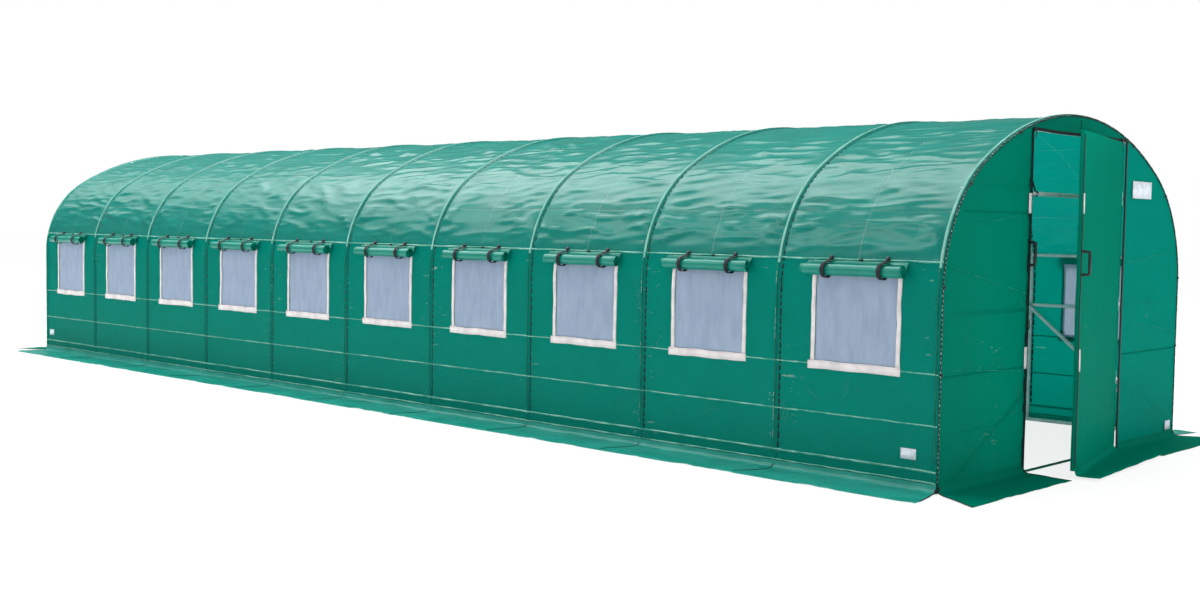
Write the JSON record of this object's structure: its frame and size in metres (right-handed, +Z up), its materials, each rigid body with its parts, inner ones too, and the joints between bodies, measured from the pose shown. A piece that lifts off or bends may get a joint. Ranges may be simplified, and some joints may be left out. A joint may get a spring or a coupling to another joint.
{
  "type": "polytunnel greenhouse",
  "caption": "Walk-in polytunnel greenhouse: arched tube hoops under a green woven cover with roll-up netted side windows, ground skirts and a hinged door flap.",
  "frame": {"origin": "middle of the tunnel's footprint at ground level; the door flap stands ajar at rest and makes the box about 105 mm longer at its +X end", "axes": "+X along the tunnel towards the open door end, +Y towards the right-hand side wall seen from outside that door, +Z up"},
  "size_m": [10.6994, 3.594, 2.0031],
  "materials": {
    "galvanised_tube": "satin",
    "cover_green": "gloss",
    "end_green": "satin",
    "insect_net": "matte",
    "fastening_tape": "matte",
    "black_trim": "satin"
  },
  "bodies": {
    "tunnel": {"hoop_01": "galvanised_tube", "hoop_02": "galvanised_tube", "hoop_03": "galvanised_tube", "hoop_04": "galvanised_tube", "hoop_05": "galvanised_tube", "hoop_06": "galvanised_tube", "hoop_07": "galvanised_tube", "hoop_08": "galvanised_tube", "hoop_09": "galvanised_tube", "hoop_10": "galvanised_tube", "hoop_11": "galvanised_tube", "ridge_purlin": "galvanised_tube", "upper_purlin_left": "galvanised_tube", "upper_purlin_right": "galvanised_tube", "lower_purlin_left": "galvanised_tube", "lower_purlin_right": "galvanised_tube", "base_rail_left": "galvanised_tube", "base_rail_right": "galvanised_tube", "corner_braces": "galvanised_tube", "front_door_frame": "galvanised_tube", "rear_door_frame": "galvanised_tube", "roof_cover": "cover_green", "side_wall_left": "cover_green", "side_wall_right": "cover_green", "skirt_left": "cover_green", "skirt_right": "cover_green", "front_skirt_left": "cover_green", "front_skirt_right": "cover_green", "rear_skirt": "cover_green", "window_rolls_left": "cover_green", "window_rolls_right": "cover_green", "front_panel_left": "end_green", "front_panel_right": "end_green", "front_header": "end_green", "rear_wall": "end_green", "rear_door": "end_green", "window_nets_left": "insect_net", "window_nets_right": "insect_net", "window_tapes_left": "fastening_tape", "window_tapes_right": "fastening_tape", "roll_straps_left": "black_trim", "roll_straps_right": "black_trim", "wall_handle": "black_trim"},
    "door_flap": {"front_door": "end_green", "door_handle": "black_trim"}
  },
  "joints": [
    {"name": "door_hinge", "type": "hinge", "parent": "tunnel", "child": "door_flap", "pos_m": [4.9875, 0.6, 0], "axis": [0, 0, 1], "range_deg": [-13.4, 74]}
  ]
}
